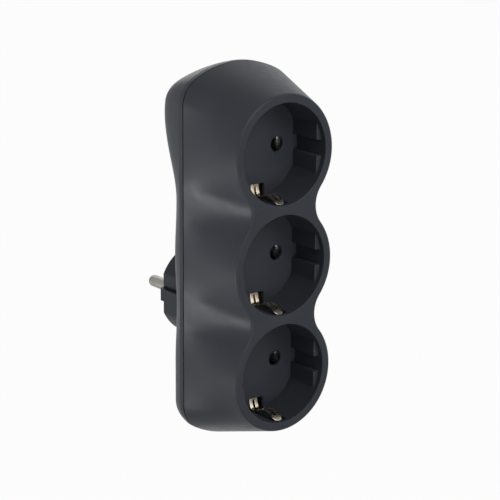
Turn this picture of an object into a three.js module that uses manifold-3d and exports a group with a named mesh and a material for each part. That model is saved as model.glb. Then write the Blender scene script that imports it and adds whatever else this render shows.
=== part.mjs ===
// Triple socket adapter: three earthed sockets one above the other, with a moulded plug on the back.
// Millimetres. X is to the right, Y goes back towards the wall, Z is up.
// The origin is the centre of the plug's end face, where its pins leave it.
// Depths are counted back from the front plane, heights from the axis of the middle socket.

import * as THREE from 'three';
import { mergeVertices } from 'three/addons/utils/BufferGeometryUtils.js';
import Module from 'manifold-3d';

const wasm = await Module();
wasm.setup();

// Sockets
const PITCH = 43.4;
const WELL_RADIUS = 19.75;
const WELL_DRAFT = 0.35;
const WELL_DEPTH = 17.0;
const LIP_EDGE = 0.4;
const ROUND_SHARE = 0.3;
const RIM_WIDTH = 3.35;
const WELL_WALL = 2.0;
const FLOOR_THICKNESS = 1.5;
const PAD_FACE = 17.1;
const PAD_DEPTH = 2.4;
const PAD_GROOVE = 6.2;
const PIN_SPACING = 19.0;
const PIN_DIAMETER = 4.8;
const HOLE_DIAMETER = 5.9;
const HOLE_CHAMFER = 0.4;
const WINDOW_WIDTH = 6.6;
const WINDOW_INNER = 14.4;
const CHANNEL_OUTER = 21.2;
const CHANNEL_DEPTH = 1.8;
const GUARD_WALL = 1.2;
const CARRIER_WALL = 1.4;
const CARRIER_CLEARANCE = 1.6;
const CARRIER_OVERRUN = 3.0;

// Body shape
const WAIST_FILLET = 11.3;
const FRONT_EDGE = 0.8;
const SEAM_DEPTH = 30.0;
const SEAM_HALF_WIDTH = 25.9;
const SEAM_CORNER = 11.6;
const SEAM_ARCH = 41.4;
const END_MARGIN = 31.6;
const WALL = 2.0;
const FRONT_SKIN = 2.2;
const GAP = 0.3;
const PAST = 1.0;

// Rear cover
const BAND_WIDTH = 2.0;
const BACK_DEPTH = 39.6;
const COVER_INSET = 4.4;
const COVER_WAIST = 0.9;
const BULGE_START = 22.0;
const BULGE_CREST = 55.0;
const BULGE_RISE = 7.2;
const BULGE_FALL = 5.0;
const TONGUE_HEIGHT = 1.5;
const TONGUE_THICKNESS = 1.2;
const TONGUE_ROOT = 0.5;
const COVER_RIB = 1.4;
const COVER_RIB_OVERRUN = 1.5;
const LOW_RIB_FROM_WELL = 9.0;

// Plug
const PLUG_DROP = 21.0;
const PLUG_LENGTH = 17.0;
const PLUG_RADIUS = 18.9;
const PLUG_FLAT = 17.1;
const PLUG_EDGE = 0.8;
const RIB_REACH = 19.0;
const RIB_WIDTH = 5.0;
const RIB_CHAMFER = 1.2;
const FLANGE_RADIUS = 21.0;
const FLANGE_THICKNESS = 2.5;
const FLANGE_STEP = 0.6;
const PIN_LENGTH = 19.0;
const EARTH_HOLE_OFFSET = 10.0;
const EARTH_HOLE_DIAMETER = 5.4;
const FACE_COVER = 1.0;
const CHANNEL_FLOOR_DEPTH = 1.4;
const HOOK_LENGTH = 3.0;

// Metal parts
const SHEET = 0.8;
const LEAF_SHEET = 0.5;
const LEAF_GRIP = 4.4;
const LEAF_HEIGHT = 6.0;
const LEAF_LENGTH = 12.2;
const LEAF_SETBACK = 0.9;
const LEAF_FLARE = 1.0;
const LEAF_FLARE_LENGTH = 3.2;
const BRIDGE_WIDTH = 5.0;
const BAR_WIDTH = 8.0;
const BAR_OVERRUN = 5.0;
const BAR_SETBACK = 1.5;
const TAB_SETBACK = 0.5;
const EAR_HEIGHT = 8.0;
const TAB_REACH = 3.4;
const CLIP_SHEET = 0.6;
const CLIP_WIDTH = 4.0;
const CLIP_SLOT = 0.9;
const CLIP_FOOT = 5.0;
const CLIP_BEND = 3.0;
const CLIP_HUMP = 3.9;
const CLIP_HUMP_RISE = 9.9;
const CLIP_TIP_GAP = 1.1;
const CLIP_TIP_SETBACK = 0.7;
const CLIP_SLOT_MARGIN = 2.6;
const EARTH_BAR_WIDTH = 8.0;
const EARTH_BAR_SHEET = 1.0;
const BRACKET_WIDTH = 6.0;
const TAIL_DIAMETER = 3.0;
const TAIL_HEAD_DIAMETER = 4.6;
const SLEEVE_WALL = 0.5;

// Screws
const SCREW_INSET = 8.9;
const SCREW_FROM_WELL = 18.1;
const SCREW_SHANK = 3.0;
const SCREW_HEAD = 5.6;
const SCREW_HEAD_HEIGHT = 1.8;
const SCREW_LENGTH = 12.0;
const SCREW_POINT = 2.0;
const CROSS_WIDTH = 0.8;
const CROSS_LENGTH = 3.5;
const CROSS_DEPTH = 1.0;
const PILLAR_RECESS = 1.2;
const BOSS_RADIUS = 3.2;
const SCREW_SEAT = 2.0;
const RECESS_RADIUS = 3.2;
const PILLAR_RADIUS = 4.4;

// Facets
const WELL_FACETS = 48;
const HOLE_FACETS = 16;
const OUTLINE_STEPS = { cap: 8, collar: 3, hollow: 3 };

// Places that follow from the sizes above
const HALF_PITCH = PITCH / 2;
const RIM_RADIUS = WELL_RADIUS + RIM_WIDTH;
const FLOOR_RADIUS = WELL_RADIUS - WELL_DRAFT;
const FLOOR_BACK = WELL_DEPTH + FLOOR_THICKNESS;
const PIN_X = PIN_SPACING / 2;
const FACE_DEPTH = BACK_DEPTH + PLUG_LENGTH;
const COVER_FRONT = SEAM_DEPTH + GAP;
const BAND_END = COVER_FRONT + BAND_WIDTH;
const FILLET_X = Math.sqrt((RIM_RADIUS + WAIST_FILLET) ** 2 - HALF_PITCH ** 2);
const TANGENT_ANGLE = Math.atan2(HALF_PITCH, FILLET_X);
const WAIST_HALF_WIDTH = FILLET_X - WAIST_FILLET;
const CORNER_X = SEAM_HALF_WIDTH - SEAM_CORNER;
const ARCH_Z = END_MARGIN - SEAM_ARCH;
const CORNER_Z = ARCH_Z + Math.sqrt((SEAM_ARCH - SEAM_CORNER) ** 2 - CORNER_X ** 2);
const FOOT_FRONT = FLOOR_BACK + GAP;
const EARTH_BAR_FRONT = FOOT_FRONT + CLIP_SHEET + GAP;
const EARTH_BAR_BACK = EARTH_BAR_FRONT + EARTH_BAR_SHEET;
const BRACKET_FRONT = EARTH_BAR_BACK + GAP;
const BRACKET_BACK = BRACKET_FRONT + SHEET;
const LEAF_FRONT = FLOOR_BACK + LEAF_SETBACK;
const LEAF_BACK = LEAF_FRONT + LEAF_LENGTH;
const BAR_INNER_X = PIN_X + LEAF_GRIP / 2 + LEAF_SHEET + GAP;
const FLANGE_BACK = BACK_DEPTH - WALL - GAP;
const FLANGE_FRONT = FLANGE_BACK - FLANGE_THICKNESS;
const TAB_BACK = FLANGE_FRONT - TAB_SETBACK;
const TAB_FRONT = TAB_BACK - SHEET;
const BAR_BACK = TAB_FRONT - BAR_SETBACK;
const BAR_FRONT = BAR_BACK - BAR_WIDTH;
const SCREW_X = SEAM_HALF_WIDTH - SCREW_INSET;
const PILLAR_BASE = COVER_FRONT + PILLAR_RECESS;
const BOSS_TOP = PILLAR_BASE - GAP;
const SCREW_SEAT_DEPTH = PILLAR_BASE + SCREW_SEAT;
const ARM_INNER = PLUG_RADIUS - CHANNEL_FLOOR_DEPTH;
const CLIP_DIRECTIONS = { upper: 1, lower: -1 };
const SIDES = { left: -1, right: 1 };
const SOCKETS = { top: PITCH, middle: 0, bottom: -PITCH };

// Materials
const plastic = new THREE.MeshStandardMaterial({ color: 0x44474c, roughness: 0.5, metalness: 0.0 });
const darkPlastic = new THREE.MeshStandardMaterial({ color: 0x3a3d42, roughness: 0.55, metalness: 0.0 });
const nickel = new THREE.MeshStandardMaterial({ color: 0xc9c3b4, roughness: 0.28, metalness: 1.0 });
const brass = new THREE.MeshStandardMaterial({ color: 0xb99a55, roughness: 0.35, metalness: 1.0 });
const steel = new THREE.MeshStandardMaterial({ color: 0x9a9ca0, roughness: 0.35, metalness: 1.0 });

// A closed three.js geometry becomes a solid, with its faces turned outwards.
function solid(geometry) {
  const plain = geometry.clone();
  plain.deleteAttribute('normal');
  plain.deleteAttribute('uv');
  const merged = mergeVertices(plain, 1e-4);
  const position = merged.attributes.position;
  const index = Array.from(merged.index.array);
  const vertices = Array.from({ length: position.count }, (_, i) =>
    new THREE.Vector3().fromBufferAttribute(position, i));
  const triangles = [];
  let volume = 0;
  for (let i = 0; i < index.length; i += 3) {
    const [a, b, c] = [index[i], index[i + 1], index[i + 2]];
    if (a === b || b === c || c === a) continue;
    volume += vertices[a].dot(vertices[b].clone().cross(vertices[c]));
    triangles.push([a, b, c]);
  }
  const turned = volume < 0 ? triangles.map(([a, b, c]) => [a, c, b]) : triangles;
  return new wasm.Manifold(new wasm.Mesh({
    numProp: 3,
    vertProperties: Float32Array.from(position.array),
    triVerts: Uint32Array.from(turned.flat()),
  }));
}

// A solid becomes a named mesh.
function piece(name, shape, material) {
  const mesh = shape.getMesh();
  const geometry = new THREE.BufferGeometry();
  geometry.setAttribute('position', new THREE.BufferAttribute(Float32Array.from(mesh.vertProperties), 3));
  geometry.setIndex(Array.from(mesh.triVerts));
  geometry.computeVertexNormals();
  const made = new THREE.Mesh(geometry, material);
  made.name = name;
  return made;
}

function union(shapes) {
  return shapes.reduce((sum, shape) => sum.add(shape));
}

// A box between two corners.
function block(x0, x1, y0, y1, z0, z1) {
  const geometry = new THREE.BoxGeometry(Math.abs(x1 - x0), Math.abs(y1 - y0), Math.abs(z1 - z0));
  geometry.translate((x0 + x1) / 2, (y0 + y1) / 2, (z0 + z1) / 2);
  return solid(geometry);
}

// A profile of (radius, depth) points turned about a line parallel to Y through (x, z).
function turned(profile, x, z, segments = 32) {
  const points = profile.map(([r, y]) => new THREE.Vector2(r, y));
  const geometry = new THREE.LatheGeometry(points, segments);
  geometry.translate(x, 0, z);
  return solid(geometry);
}

function rod(radius, y0, y1, x, z, segments = 32) {
  return turned([[0, y0], [radius, y0], [radius, y1], [0, y1]], x, z, segments);
}

// A flat shape in X and Z, carried back from y0 to y1.
function prismAlongY(shape, y0, y1, bevel = 0) {
  const geometry = new THREE.ExtrudeGeometry(shape, {
    depth: y1 - y0 - 2 * bevel,
    curveSegments: 24,
    bevelEnabled: bevel > 0,
    bevelThickness: bevel,
    bevelSize: bevel,
    bevelOffset: -bevel,
    bevelSegments: 2,
  });
  geometry.rotateX(Math.PI / 2);
  geometry.translate(0, y1 - bevel, 0);
  return solid(geometry);
}

// A flat shape in X and Y, centred on height z.
function prismAlongZ(shape, z, height) {
  const geometry = new THREE.ExtrudeGeometry(shape, { depth: height, bevelEnabled: false });
  geometry.translate(0, 0, z - height / 2);
  return solid(geometry);
}

// The shape between two lines that run beside a curve, half a sheet away on each side.
function stripShape(points, sheet, steps) {
  const curve = new THREE.SplineCurve(points.map(([a, b]) => new THREE.Vector2(a, b)));
  const near = [];
  const far = [];
  for (let i = 0; i <= steps; i += 1) {
    const p = curve.getPoint(i / steps);
    const t = curve.getTangent(i / steps);
    const side = new THREE.Vector2(-t.y, t.x).multiplyScalar(sheet / 2);
    near.push(p.clone().add(side));
    far.push(p.clone().sub(side));
  }
  return new THREE.Shape([...near, ...far.reverse()]);
}

// Stations round the right half of the outline, from the lowest point to the highest.
// A cap station is an angle about an end socket's axis. A side station is a point on a
// socket's collar or in the hollow between two sockets.
function outlineStations() {
  const { cap: capSteps, collar: collarSteps, hollow: hollowSteps } = OUTLINE_STEPS;
  const stations = [];
  for (let i = 0; i < capSteps; i += 1) {
    stations.push({ kind: 'cap', end: -1, angle: -Math.PI / 2 + (i / capSteps) * Math.PI / 2 });
  }
  for (const lobe of [-1, 0, 1]) {
    const first = lobe === -1 ? 0 : -collarSteps;
    const last = lobe === 1 ? 0 : collarSteps;
    for (let i = first; i <= last; i += 1) {
      stations.push({ kind: 'collar', lobe, angle: (i / collarSteps) * TANGENT_ANGLE });
    }
    if (lobe === 1) continue;
    for (let i = 1; i < 2 * hollowSteps; i += 1) {
      stations.push({ kind: 'hollow', waist: lobe + 0.5, angle: (i / hollowSteps - 1) * TANGENT_ANGLE });
    }
  }
  for (let i = 1; i <= capSteps; i += 1) {
    stations.push({ kind: 'cap', end: 1, angle: (i / capSteps) * Math.PI / 2 });
  }
  return stations;
}

// The lobed outline of the front face, moved in by an inset: three circles joined by hollow arcs.
function frontPoint(station, inset) {
  if (station.kind === 'hollow') {
    const r = WAIST_FILLET + inset;
    return [FILLET_X - r * Math.cos(station.angle), station.waist * PITCH + r * Math.sin(station.angle)];
  }
  const centre = station.kind === 'cap' ? station.end * PITCH : station.lobe * PITCH;
  const r = RIM_RADIUS - inset;
  return [r * Math.cos(station.angle), centre + r * Math.sin(station.angle)];
}

// The distance from an end socket's axis to the seam outline, moved in by an inset:
// a straight side, a corner arc and a wide arch over the end, each tangent to the next.
function seamRadius(angle, inset) {
  const dx = Math.cos(angle);
  const dz = Math.abs(Math.sin(angle));
  const side = (SEAM_HALF_WIDTH - inset) / Math.max(dx, 1e-9);
  if (side * dz <= CORNER_Z) return side;
  const hit = (cx, cz, r) => {
    const along = dx * cx + dz * cz;
    return along + Math.sqrt(Math.max(along ** 2 - cx ** 2 - cz ** 2 + r ** 2, 0));
  };
  const arch = hit(0, ARCH_Z, SEAM_ARCH - inset);
  const onArch = arch * dx * (CORNER_Z - ARCH_Z) < CORNER_X * (arch * dz - ARCH_Z);
  return onArch ? arch : hit(CORNER_X, CORNER_Z, SEAM_CORNER - inset);
}

function seamPoint(station, inset) {
  if (station.kind === 'cap') {
    const r = seamRadius(station.angle, inset);
    return [r * Math.cos(station.angle), station.end * PITCH + r * Math.sin(station.angle)];
  }
  return [SEAM_HALF_WIDTH - inset, frontPoint(station, 0)[1]];
}

// A closed body through rings of stations. Each ring is a function from a station to its
// x, y and z on the right half, and the left half is its mirror image.
function loft(rings) {
  const stations = outlineStations();
  const n = stations.length - 1;
  const around = 2 * n;
  const position = [];
  for (const ring of rings) {
    for (let i = 0; i < around; i += 1) {
      const mirrored = i > n;
      const [x, y, z] = ring(stations[mirrored ? around - i : i]);
      const onAxis = i === 0 || i === n;
      position.push(onAxis ? 0 : (mirrored ? -x : x), y, z);
    }
  }
  const index = [];
  for (let k = 0; k + 1 < rings.length; k += 1) {
    for (let i = 0; i < around; i += 1) {
      const j = (i + 1) % around;
      const [a, b] = [k * around + i, k * around + j];
      const [c, d] = [a + around, b + around];
      index.push(a, d, b, a, c, d);
    }
  }
  const cap = (base, flip) => {
    for (let i = 0; i < n; i += 1) {
      const right = [base + i, base + i + 1];
      const left = [base + ((around - i) % around), base + around - i - 1];
      const quad = [[right[0], left[0], left[1]], [right[0], left[1], right[1]]];
      for (const t of quad) {
        if (new Set(t).size === 3) index.push(...(flip ? [t[0], t[2], t[1]] : t));
      }
    }
  };
  cap(0, true);
  cap((rings.length - 1) * around, false);
  const geometry = new THREE.BufferGeometry();
  geometry.setAttribute('position', new THREE.BufferAttribute(Float32Array.from(position), 3));
  geometry.setIndex(index);
  return solid(geometry);
}

// A ring part of the way from the front outline to the seam outline, both moved in by an inset.
function bodyRing(depth, inset) {
  const share = depth / SEAM_DEPTH;
  return (station) => {
    const [fx, fz] = frontPoint(station, inset);
    const [sx, sz] = seamPoint(station, inset);
    return [fx + (sx - fx) * share, depth, fz + (sz - fz) * share];
  };
}

function frontRing(depth, inset) {
  return (station) => {
    const [x, z] = frontPoint(station, inset);
    return [x, depth, z];
  };
}

function seamRing(depth, inset) {
  return (station) => {
    const [x, z] = seamPoint(station, inset);
    return [x, depth, z];
  };
}

// How deep the cover's back lies at a height: flat behind the plug, then a ramp to the
// bulge that leans on the wall, then a fall to the top end.
function backDepth(z) {
  if (z <= BULGE_START) return BACK_DEPTH;
  if (z <= BULGE_CREST) {
    const share = (z - BULGE_START) / (BULGE_CREST - BULGE_START);
    return BACK_DEPTH + BULGE_RISE * share * share * (3 - 2 * share);
  }
  const past = (z - BULGE_CREST) / (PITCH + END_MARGIN - COVER_INSET - BULGE_CREST);
  return BACK_DEPTH + BULGE_RISE - BULGE_FALL * past * past;
}

// A ring of the rear cover. The inset and the rise are shares of the whole turn-in and depth.
function coverRing(insetShare, riseShare, wall = 0) {
  return (station) => {
    const inset = COVER_INSET * insetShare + wall;
    const [x, z] = seamPoint(station, inset);
    const middle = station.kind === 'cap' ? 0 : (1 - Math.cos((2 * Math.PI * z) / PITCH)) / 2;
    const back = backDepth(z) - wall;
    return [x - COVER_WAIST * middle * riseShare, BAND_END + (back - BAND_END) * riseShare, z];
  };
}

// Each pair is the share of the turn-in and the share of the depth, from the band to the back.
const COVER_PROFILE = [[0, 0], [0.12, 0.32], [0.26, 0.6], [0.43, 0.8], [0.67, 0.94], [1, 1]];
const COVER_LINING = [[0, 0], [0.26, 0.6], [0.67, 0.94], [1, 1]];

// What is cut out of the front housing for one socket: the round recess less its guide pads,
// the two pin holes, and the two channels and windows for the earth clips.
function wellCut(z) {
  const recess = turned([
    [0, -PAST],
    [WELL_RADIUS + LIP_EDGE, -PAST],
    [WELL_RADIUS + LIP_EDGE, 0],
    [WELL_RADIUS + ROUND_SHARE * LIP_EDGE, ROUND_SHARE * LIP_EDGE],
    [WELL_RADIUS, LIP_EDGE],
    [FLOOR_RADIUS, WELL_DEPTH],
    [0, WELL_DEPTH],
  ], 0, z, WELL_FACETS);
  const padEdge = PAD_GROOVE / 2;
  const pads = [];
  for (const side of [-1, 1]) {
    for (const half of [-1, 1]) {
      pads.push(block(side * PAD_FACE, side * (WELL_RADIUS + PAST), PAD_DEPTH, WELL_DEPTH + PAST,
        z + half * padEdge, z + half * WELL_RADIUS));
    }
  }
  const holes = Object.values(SIDES).map((side) => {
    const r = HOLE_DIAMETER / 2;
    return turned([
      [0, WELL_DEPTH - PAST],
      [r + HOLE_CHAMFER, WELL_DEPTH - PAST],
      [r + HOLE_CHAMFER, WELL_DEPTH],
      [r, WELL_DEPTH + HOLE_CHAMFER],
      [r, FLOOR_BACK + PAST],
      [0, FLOOR_BACK + PAST],
    ], side * PIN_X, z, HOLE_FACETS);
  });
  const channels = Object.values(CLIP_DIRECTIONS).map((up) =>
    block(-WINDOW_WIDTH / 2, WINDOW_WIDTH / 2, CHANNEL_DEPTH, WELL_DEPTH,
      z + up * (FLOOR_RADIUS - WALL), z + up * CHANNEL_OUTER)
      .add(block(-WINDOW_WIDTH / 2, WINDOW_WIDTH / 2, WELL_DEPTH - PAST, FLOOR_BACK + PAST,
        z + up * WINDOW_INNER, z + up * CHANNEL_OUTER)));
  return union([recess.subtract(union(pads)), ...holes, ...channels]);
}

function screwPlaces() {
  const places = [];
  for (const end of [1, -1]) {
    for (const side of [-1, 1]) {
      places.push([side * SCREW_X, end * (PITCH + SCREW_FROM_WELL)]);
    }
  }
  return places;
}

// What stays in the hollow behind the front: the cups of the three recesses, the blocks round
// the clip channels, the walls that carry the busbars, and the screw bosses.
function housingInside() {
  const kept = [];
  const guard = WINDOW_WIDTH / 2 + GUARD_WALL;
  for (const z of Object.values(SOCKETS)) {
    kept.push(rod(WELL_RADIUS + WELL_WALL, 0, FLOOR_BACK, 0, z, WELL_FACETS));
    for (const up of Object.values(CLIP_DIRECTIONS)) {
      kept.push(block(-guard, guard, 0, FLOOR_BACK,
        z + up * (FLOOR_RADIUS - WALL), z + up * (CHANNEL_OUTER + GUARD_WALL)));
    }
    for (const side of Object.values(SIDES)) {
      for (const half of [-1, 1]) {
        const near = z + half * (LEAF_HEIGHT / 2 + CARRIER_CLEARANCE);
        kept.push(block(side * (2 * PIN_X - BAR_INNER_X), side * (BAR_INNER_X + SHEET + CARRIER_OVERRUN),
          FLOOR_BACK - GAP, BAR_FRONT - GAP, near, near + half * CARRIER_WALL));
      }
    }
  }
  for (const [x, z] of screwPlaces()) {
    kept.push(rod(BOSS_RADIUS, FRONT_SKIN, SEAM_DEPTH + PAST, x, z, HOLE_FACETS));
  }
  return union(kept);
}

function frontHousing() {
  const outer = loft([
    frontRing(0, FRONT_EDGE),
    frontRing(ROUND_SHARE * FRONT_EDGE, ROUND_SHARE * FRONT_EDGE),
    bodyRing(FRONT_EDGE, 0),
    bodyRing(SEAM_DEPTH / 2, 0),
    bodyRing(SEAM_DEPTH, 0),
  ]);
  const inner = loft([
    bodyRing(FRONT_SKIN, WALL),
    bodyRing(SEAM_DEPTH, WALL),
    seamRing(SEAM_DEPTH + PAST, WALL),
  ]);
  let housing = outer.subtract(inner.subtract(housingInside()));
  for (const z of Object.values(SOCKETS)) {
    housing = housing.subtract(wellCut(z));
  }
  for (const [x, z] of screwPlaces()) {
    housing = housing.add(rod(BOSS_RADIUS, SEAM_DEPTH - PAST, BOSS_TOP, x, z, HOLE_FACETS));
    const depth = SCREW_SEAT_DEPTH - SCREW_LENGTH - PAST;
    housing = housing.subtract(rod(SCREW_SHANK / 2 + GAP, depth, BOSS_TOP + PAST, x, z, HOLE_FACETS));
  }
  return housing;
}

// The outline of the plug: a circle with a flat on each side.
function plugShape(radius, flat) {
  const angle = Math.acos(flat / radius);
  const shape = new THREE.Shape();
  shape.absarc(0, 0, radius, angle, Math.PI - angle, false);
  shape.absarc(0, 0, radius, Math.PI + angle, 2 * Math.PI - angle, false);
  return shape;
}

// The plug's outline with its guide ribs, grown by a clearance, used for the hole in the cover.
function plugHole(y0, y1, clearance) {
  const round = prismAlongY(plugShape(PLUG_RADIUS + clearance, PLUG_FLAT + clearance), y0, y1);
  const reach = RIB_REACH + clearance;
  const half = RIB_WIDTH / 2 + clearance;
  return round.add(block(-reach, reach, y0, y1, -half, half)).translate([0, 0, -PLUG_DROP]);
}

function rearCover() {
  const outer = loft([seamRing(COVER_FRONT, 0), ...COVER_PROFILE.map(([i, r]) => coverRing(i, r))]);
  const inner = loft([seamRing(COVER_FRONT - PAST, WALL), ...COVER_LINING.map(([i, r]) => coverRing(i, r, WALL))]);
  const lean = (SEAM_HALF_WIDTH - WAIST_HALF_WIDTH) / SEAM_DEPTH;
  const tongueInset = WALL + GAP + TONGUE_HEIGHT * lean;
  const tongueInner = tongueInset + TONGUE_THICKNESS;
  const ringBetween = (y0, y1, a, b) =>
    loft([seamRing(y0, a), seamRing(y1, a)]).subtract(loft([seamRing(y0 - PAST, b), seamRing(y1 + PAST, b)]));
  const pillars = screwPlaces().map(([x, z]) => rod(PILLAR_RADIUS, PILLAR_BASE, backDepth(z), x, z, HOLE_FACETS));
  const ribs = [];
  for (const z of [HALF_PITCH, -PITCH - LOW_RIB_FROM_WELL]) {
    for (const side of Object.values(SIDES)) {
      const inside = side * (BAR_INNER_X - COVER_RIB_OVERRUN);
      const outside = side * (BAR_INNER_X + SHEET + COVER_RIB_OVERRUN);
      ribs.push(block(inside, outside, BAR_BACK + GAP, backDepth(z) - WALL / 2, z - COVER_RIB / 2, z + COVER_RIB / 2));
    }
  }
  let cover = outer.subtract(inner)
    .add(union([...pillars, ...ribs]).intersect(outer))
    .add(ringBetween(COVER_FRONT, BAND_END, WALL - TONGUE_ROOT, tongueInner))
    .add(ringBetween(SEAM_DEPTH - TONGUE_HEIGHT, COVER_FRONT + PAST, tongueInset, tongueInner));
  cover = cover.subtract(plugHole(BACK_DEPTH - WALL - PAST, BACK_DEPTH + PAST, GAP));
  for (const [x, z] of screwPlaces()) {
    cover = cover.subtract(rod(RECESS_RADIUS, SCREW_SEAT_DEPTH, BACK_DEPTH + BULGE_RISE + PAST, x, z, HOLE_FACETS));
    cover = cover.subtract(rod(SCREW_SHANK / 2 + GAP, PILLAR_BASE - PAST, SCREW_SEAT_DEPTH + PAST, x, z, HOLE_FACETS));
  }
  return cover;
}

// The round plug with its two flats, ribs and channels, and the flange that the cover holds.
function plugBody() {
  const body = prismAlongY(plugShape(PLUG_RADIUS, PLUG_FLAT), FLANGE_FRONT + FLANGE_THICKNESS / 2, FACE_DEPTH, PLUG_EDGE);
  const ribOutline = new THREE.Shape([
    new THREE.Vector2(-RIB_REACH, FLANGE_BACK - PAST),
    new THREE.Vector2(RIB_REACH, FLANGE_BACK - PAST),
    new THREE.Vector2(RIB_REACH, FACE_DEPTH - RIB_CHAMFER),
    new THREE.Vector2(RIB_REACH - RIB_CHAMFER, FACE_DEPTH),
    new THREE.Vector2(-RIB_REACH + RIB_CHAMFER, FACE_DEPTH),
    new THREE.Vector2(-RIB_REACH, FACE_DEPTH - RIB_CHAMFER),
  ]);
  const ribs = prismAlongZ(ribOutline, 0, RIB_WIDTH);
  const trim = RIB_REACH + FLANGE_STEP;
  const flange = rod(FLANGE_RADIUS, FLANGE_FRONT, FLANGE_BACK, 0, 0, WELL_FACETS)
    .intersect(block(-trim, trim, FLANGE_FRONT - PAST, FLANGE_BACK + PAST, -FLANGE_RADIUS, FLANGE_RADIUS));
  const cuts = Object.values(SIDES).map((side) =>
    rod(PIN_DIAMETER / 2 + GAP, FLANGE_FRONT - PAST, FACE_DEPTH + PAST, side * PIN_X, 0, HOLE_FACETS));
  const half = BRACKET_WIDTH / 2 + GAP;
  for (const up of Object.values(CLIP_DIRECTIONS)) {
    cuts.push(block(-half, half, FLANGE_FRONT - PAST, FACE_DEPTH + PAST,
      up * (ARM_INNER - GAP), up * (FLANGE_RADIUS + PAST)));
    cuts.push(block(-half, half, FACE_DEPTH - 2 * SHEET - GAP, FACE_DEPTH + PAST,
      up * (ARM_INNER - HOOK_LENGTH - GAP), up * FLANGE_RADIUS));
  }
  const sleeveRadius = EARTH_HOLE_DIAMETER / 2 + SLEEVE_WALL;
  cuts.push(rod(EARTH_HOLE_DIAMETER / 2, FLANGE_FRONT - PAST, FACE_DEPTH + PAST, 0, EARTH_HOLE_OFFSET, HOLE_FACETS));
  cuts.push(rod(sleeveRadius + GAP, FLANGE_FRONT - PAST, FACE_DEPTH - FACE_COVER, 0, EARTH_HOLE_OFFSET, HOLE_FACETS));
  return union([body, ribs, flange]).subtract(union(cuts)).translate([0, 0, -PLUG_DROP]);
}

// A round pin with a domed tip, a shoulder inside and a tail that is riveted to a busbar.
function plugPin(side) {
  const r = PIN_DIAMETER / 2;
  const tip = FACE_DEPTH + PIN_LENGTH;
  const dome = [];
  const domeSteps = 4;
  for (let i = 0; i <= domeSteps; i += 1) {
    const a = (i / domeSteps) * Math.PI / 2;
    dome.push([r * Math.cos(a), tip - r + r * Math.sin(a)]);
  }
  dome[dome.length - 1][0] = 0;
  return turned([
    [0, TAB_FRONT - GAP - SHEET],
    [TAIL_HEAD_DIAMETER / 2, TAB_FRONT - GAP - SHEET],
    [TAIL_HEAD_DIAMETER / 2, TAB_FRONT - GAP],
    [TAIL_DIAMETER / 2, TAB_FRONT - GAP],
    [TAIL_DIAMETER / 2, TAB_BACK + GAP],
    [r, TAB_BACK + GAP],
    ...dome,
  ], side * PIN_X, -PLUG_DROP, 20);
}

// A strip on edge beside the three contacts, with a tab turned in behind the plug's pin.
function busbar(side) {
  const near = side * BAR_INNER_X;
  const far = side * (BAR_INNER_X + SHEET);
  const reach = PITCH + BAR_OVERRUN;
  const strip = block(near, far, BAR_FRONT, BAR_BACK, -reach, reach);
  const bottom = -PLUG_DROP - EAR_HEIGHT / 2;
  const ear = block(near, far, BAR_FRONT, TAB_BACK, bottom, bottom + EAR_HEIGHT);
  const tab = block(far, side * (PIN_X - TAB_REACH), TAB_FRONT, TAB_BACK, bottom, bottom + EAR_HEIGHT);
  const hole = rod(TAIL_DIAMETER / 2 + GAP, TAB_FRONT - PAST, TAB_BACK + PAST, side * PIN_X, -PLUG_DROP, HOLE_FACETS);
  return union([strip, ear, tab]).subtract(hole);
}

// Two bowed leaves that grip a plug's pin, joined by a bridge over the top.
function contact(side, z) {
  const middle = LEAF_GRIP / 2 + LEAF_SHEET / 2;
  const leaf = (way) => {
    const x = side * PIN_X;
    const shape = stripShape([
      [x + way * (middle + LEAF_FLARE), LEAF_FRONT],
      [x + way * (middle + LEAF_FLARE / 3), LEAF_FRONT + LEAF_FLARE_LENGTH / 2],
      [x + way * middle, LEAF_FRONT + LEAF_FLARE_LENGTH],
      [x + way * middle, (LEAF_FRONT + LEAF_BACK) / 2],
      [x + way * middle, LEAF_BACK],
    ], LEAF_SHEET, 7);
    return prismAlongZ(shape, z, LEAF_HEIGHT);
  };
  const half = middle + LEAF_SHEET / 2;
  const bridge = block(side * PIN_X - half, side * PIN_X + half, LEAF_BACK - BRIDGE_WIDTH, LEAF_BACK,
    z + LEAF_HEIGHT / 2 - LEAF_SHEET / 2, z + LEAF_HEIGHT / 2 + LEAF_SHEET / 2);
  return union([leaf(1), leaf(-1), bridge]);
}

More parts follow.
